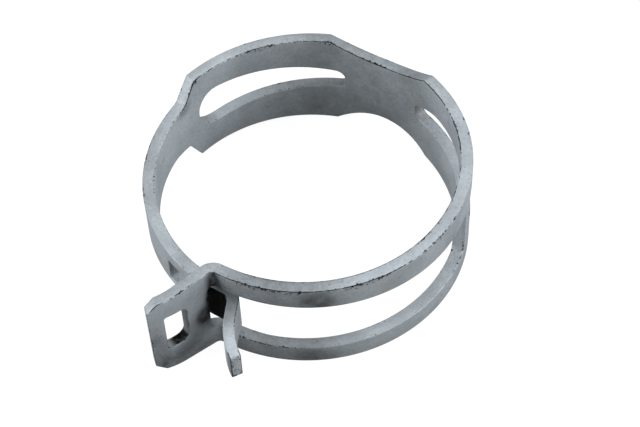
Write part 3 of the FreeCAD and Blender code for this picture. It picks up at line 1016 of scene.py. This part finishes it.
    def chipped(self, bench: Bench, place: "StripPlace", plan: PlanLine
                ) -> bpy.types.NodeSocket:
        """Where the coating is gone: chips along the broken edges, and single specks.

        Args:
            bench: the material's bench.
            place: the spot on the strip.
            plan: the plan line.

        Returns:
            1 where the steel is bare.
        """
        drift = bench.math("MULTIPLY", bench.noise(place.flat, self.drift), self.drift_share)
        chance = bench.math("ADD", bench.noise(place.flat, self.chips), drift)
        rubbed: bpy.types.NodeSocket | float = 0.0
        for rub in self.rubs(plan):
            off = bench.math("ABSOLUTE", bench.math("SUBTRACT", place.along, rub.along))
            near = bench.ramp(off, rub.reach * self.rub_core, rub.reach,
                              (rub.strength, 0.0))
            high = bench.math("GREATER_THAN", place.height, rub.lowest)
            side = bench.math("MULTIPLY", place.beside(rub.face), high)
            rubbed = bench.math("ADD", rubbed, bench.math("MULTIPLY", near, side))
        edge = bench.stepped(bench.math("ADD", chance, rubbed), self.chips)
        edge = bench.math("MULTIPLY", place.broken, edge)
        rim = bench.math("ADD", chance,
                         bench.math("MULTIPLY", rubbed, self.rim_rubbed_share))
        rim = bench.math("ADD", rim, bench.math("MULTIPLY", place.rim, self.rim_share))
        rim = bench.math("MULTIPLY", place.rim_zone, bench.ramp(rim, *self.rim_step))
        specks = bench.math("ADD", bench.noise(place.flat, self.specks),
                            bench.math("MULTIPLY", place.cut_face, self.specks_on_cuts))
        specks = bench.stepped(specks, self.specks)
        return bench.math("MAXIMUM", bench.math("MAXIMUM", edge, rim), specks)


class StripPlace:
    """Where a spot of the material lies on the flat strip, as sockets in millimetres.

    CUT_STEP, the two BREAK steps and RIM_STEP are depths in from a face, as shares of the
    broken edge's width. RIM_HEIGHT and END_STEP are millimetres in from the long edges
    and from the tips. RIM_LEAST is how much of a rim a spot needs to chip as one.
    """

    CUT_STEP: tuple[float, float] = (1.0, 0.5)
    BREAK_STARTS: tuple[float, float] = (1.05, 0.8)
    BREAK_ENDS: tuple[float, float] = (0.35, 0.1)
    RIM_STEP: tuple[float, float] = (3.2, 1.0)
    RIM_HEIGHT: float = 1.1
    END_STEP: tuple[float, float] = (0.02, 0.5)
    RIM_LEAST: float = 0.05

    def __init__(self, bench: Bench, blank: Blank) -> None:
        """Read the flat place and work out which face or edge the spot is on.

        Args:
            bench: the material's bench.
            blank: the blank, for its thickness, height and broken edges.
        """
        self.bench = bench
        self.half, self.rounding = blank.thickness / 2, blank.edge_break
        self.flat = bench.add("ShaderNodeAttribute", attribute_name=FLAT).outputs["Vector"]
        split = bench.feed(bench.add("ShaderNodeSeparateXYZ"), Vector=self.flat)
        self.along, self.through, self.height = split.outputs
        self.depth = bench.math("ABSOLUTE", self.through)
        self.cut_face = self.deep_step(self.CUT_STEP, (1.0, 0.0))
        self.broken = bench.math("MULTIPLY", self.deep_step(self.BREAK_STARTS),
                                 self.deep_step(self.BREAK_ENDS, (1.0, 0.0)))
        near_top = bench.ramp(bench.math("ABSOLUTE", self.height),
                              blank.half_height - self.RIM_HEIGHT,
                              blank.half_height - self.rounding)
        cut_rim = bench.math("MULTIPLY", self.deep_step(self.RIM_STEP), self.cut_face)
        face_rim = bench.math("MULTIPLY", near_top,
                              bench.math("SUBTRACT", 1.0, self.cut_face))
        from_end = bench.math("MINIMUM", self.along, bench.math(
            "SUBTRACT", blank.plan.length(), self.along))
        self.rim = bench.math("MAXIMUM", bench.math("MAXIMUM", cut_rim, face_rim),
                              bench.ramp(from_end, *self.END_STEP, (1.0, 0.0)))
        self.rim_zone = bench.math("GREATER_THAN", self.rim, self.RIM_LEAST)

    def deep_step(self, shares: tuple[float, float],
                  reach: tuple[float, float] = (0.0, 1.0)) -> bpy.types.NodeSocket:
        """A step by how far the spot lies from mid-thickness.

        Args:
            shares: where the step starts and ends, in from the face, as shares of the
                broken edge's width.
            reach: the results at the start and at the end.

        Returns:
            The stepped value.
        """
        start, end = (self.half - self.rounding * share for share in shares)
        return self.bench.ramp(self.depth, start, end, reach)

    def distance(self, stain_and_shade: StainAndShade) -> bpy.types.NodeSocket:
        """How far the spot is from the middle of a smudge or a patch of painted shade.

        Args:
            stain_and_shade: the smudge or patch of painted shade.

        Returns:
            The distance, as a share of the patch's reach.
        """
        squares = [
            self.bench.math("POWER", self.bench.math("DIVIDE", self.bench.math(
                "SUBTRACT", spot, middle), reach), 2.0)
            for spot, middle, reach in ((self.along, stain_and_shade.along, stain_and_shade.reach[0]),
                                        (self.height, stain_and_shade.height, stain_and_shade.reach[1]))]
        return self.bench.math("POWER", self.bench.math("ADD", *squares), 0.5)

    def beside(self, face: Face) -> bpy.types.NodeSocket | float:
        """Tell which half of the thickness the spot is in.

        Args:
            face: the face that the half lies towards.

        Returns:
            1 in that half, and 1 everywhere for a face that has no half.
        """
        if face in (Face.ALL, Face.CUT):
            return 1.0
        return self.bench.math("GREATER_THAN",
                               self.bench.math("MULTIPLY", self.through, face.value), 0.0)

    def on(self, face: Face) -> bpy.types.NodeSocket | float:
        """Tell whether the spot is on a face of the strip.

        Args:
            face: a face, the cut edges, or all of them.

        Returns:
            1 on it and 0 elsewhere.
        """
        if face is Face.ALL:
            return 1.0
        if face is Face.CUT:
            return self.cut_face
        return self.bench.math("MULTIPLY", self.beside(face), self.bench.math(
            "SUBTRACT", 1.0, self.cut_face))


# ---------------------------------------------------------------- the studio
@dataclass(frozen=True)
class SoftBox:
    """One soft box, placed as the camera sees it: right, away and up, in metres."""

    name: str
    place: tuple[float, float, float]
    size: tuple[float, float]
    power: float


@dataclass
class Studio:
    """Pale floor, soft light and the camera."""

    floor_height: float
    elevation: float = 52.75
    azimuth: float = 33.0
    distance: float = 0.27664
    lens: float = 97.25
    clip: tuple[float, float] = (0.01, 20.0)
    roll: float = -2.56
    aim_right: float = 0.00177
    aim_up: float = -0.00354
    floor_size: float = 4.0
    paper_colour: Colour = (0.12, 0.12, 0.12, 1.0)
    paper_glow: float = 0.93
    bounce_colour: Colour = (0.3, 0.3, 0.3, 1.0)
    white: Colour = (1.0, 1.0, 1.0, 1.0)
    sky_colour: Colour = (0.95, 0.98, 1.0, 1.0)
    sky_strength: float = 0.16
    lamp_colour: tuple[float, float, float] = (0.97, 0.99, 1.0)
    boxes: tuple[SoftBox, ...] = (
        SoftBox("overhead", (0.15, 0.2, 0.9), (0.8, 0.8), 6.4),
        SoftBox("left", (-0.8, -0.2, 0.4), (0.5, 0.5), 7.4),
        SoftBox("right", (0.8, 0.1, 0.4), (0.5, 0.5), 4.0),
        SoftBox("front_right", (0.6, -0.62, 0.4), (0.4, 0.4), 4.2),
    )

    def camera(self) -> None:
        """Place the camera above the ears, looking down into the ring."""
        tilt, turn, roll = (math.radians(self.elevation), math.radians(self.azimuth),
                            math.radians(self.roll))
        spin = Matrix.Rotation(turn, 3, "Z")
        forward = spin @ Vector((0.0, math.cos(tilt), -math.sin(tilt)))
        right = spin @ Vector((1.0, 0.0, 0.0))
        up = spin @ Vector((0.0, math.sin(tilt), math.cos(tilt)))
        target = right * self.aim_right + up * self.aim_up
        leaned_right = right * math.cos(roll) + up * math.sin(roll)
        leaned_up = up * math.cos(roll) - right * math.sin(roll)
        data = bpy.data.cameras.new("camera")
        data.lens = self.lens
        data.clip_start, data.clip_end = self.clip
        camera = bpy.data.objects.new("camera", data)
        bpy.context.scene.collection.objects.link(camera)
        place = Matrix((leaned_right, leaned_up, -forward)).transposed().to_4x4()
        place.translation = target - forward * self.distance
        camera.matrix_world = place
        bpy.context.scene.camera = camera

    def floor(self) -> None:
        """Lay the floor that the clamp stands on: bright to look at, and a soft bounce."""
        bpy.ops.mesh.primitive_plane_add(size=self.floor_size,
                                         location=(0.0, 0.0, self.floor_height))
        floor = bpy.context.active_object
        floor.name = "floor"
        paper = bpy.data.materials.new("pale_paper")
        paper.use_nodes = True
        bench = Bench(paper.node_tree)
        seen = paper.node_tree.nodes["Principled BSDF"]
        bench.feed(seen, Base_Color=self.paper_colour, Roughness=1.0,
                   Emission_Color=self.white, Emission_Strength=self.paper_glow)
        seen.inputs["Specular IOR Level"].default_value = 0.0
        bounce = bench.feed(bench.add("ShaderNodeBsdfDiffuse"), Color=self.bounce_colour)
        share = bench.feed(bench.add("ShaderNodeMixShader"),
                           Fac=bench.add("ShaderNodeLightPath").outputs["Is Camera Ray"])
        paper.node_tree.links.new(bounce.outputs[0], share.inputs[1])
        paper.node_tree.links.new(seen.outputs[0], share.inputs[2])
        sheet = paper.node_tree.nodes["Material Output"]
        paper.node_tree.links.new(share.outputs[0], sheet.inputs["Surface"])
        floor.data.materials.append(paper)

    def lights(self) -> None:
        """Hang the soft boxes and set the dim surroundings."""
        world = bpy.data.worlds.new("studio")
        world.use_nodes = True
        shade = world.node_tree.nodes["Background"]
        shade.inputs["Color"].default_value = self.sky_colour
        shade.inputs["Strength"].default_value = self.sky_strength
        bpy.context.scene.world = world
        bpy.context.scene.view_settings.view_transform = "Standard"
        spin = Matrix.Rotation(math.radians(self.azimuth), 3, "Z")
        for box in self.boxes:
            data = bpy.data.lights.new(box.name, "AREA")
            data.shape = "RECTANGLE"
            data.size, data.size_y = box.size
            data.energy = box.power
            data.color = self.lamp_colour
            light = bpy.data.objects.new(box.name, data)
            bpy.context.scene.collection.objects.link(light)
            light.location = spin @ Vector(box.place)
            light.rotation_euler = (-light.location).to_track_quat("-Z", "Y").to_euler()


def main() -> None:
    """Build the clamp and the studio."""
    logging.basicConfig(level=logging.INFO, format="%(name)s: %(message)s")
    studio = Studio(floor_height=CAD_BOX[0].z)
    studio.camera()
    studio.floor()
    studio.lights()
    plan = PlanLine()
    Strip(plan, Blank(plan)).make(ZincFlake())


if __name__ == "__main__":
    main()
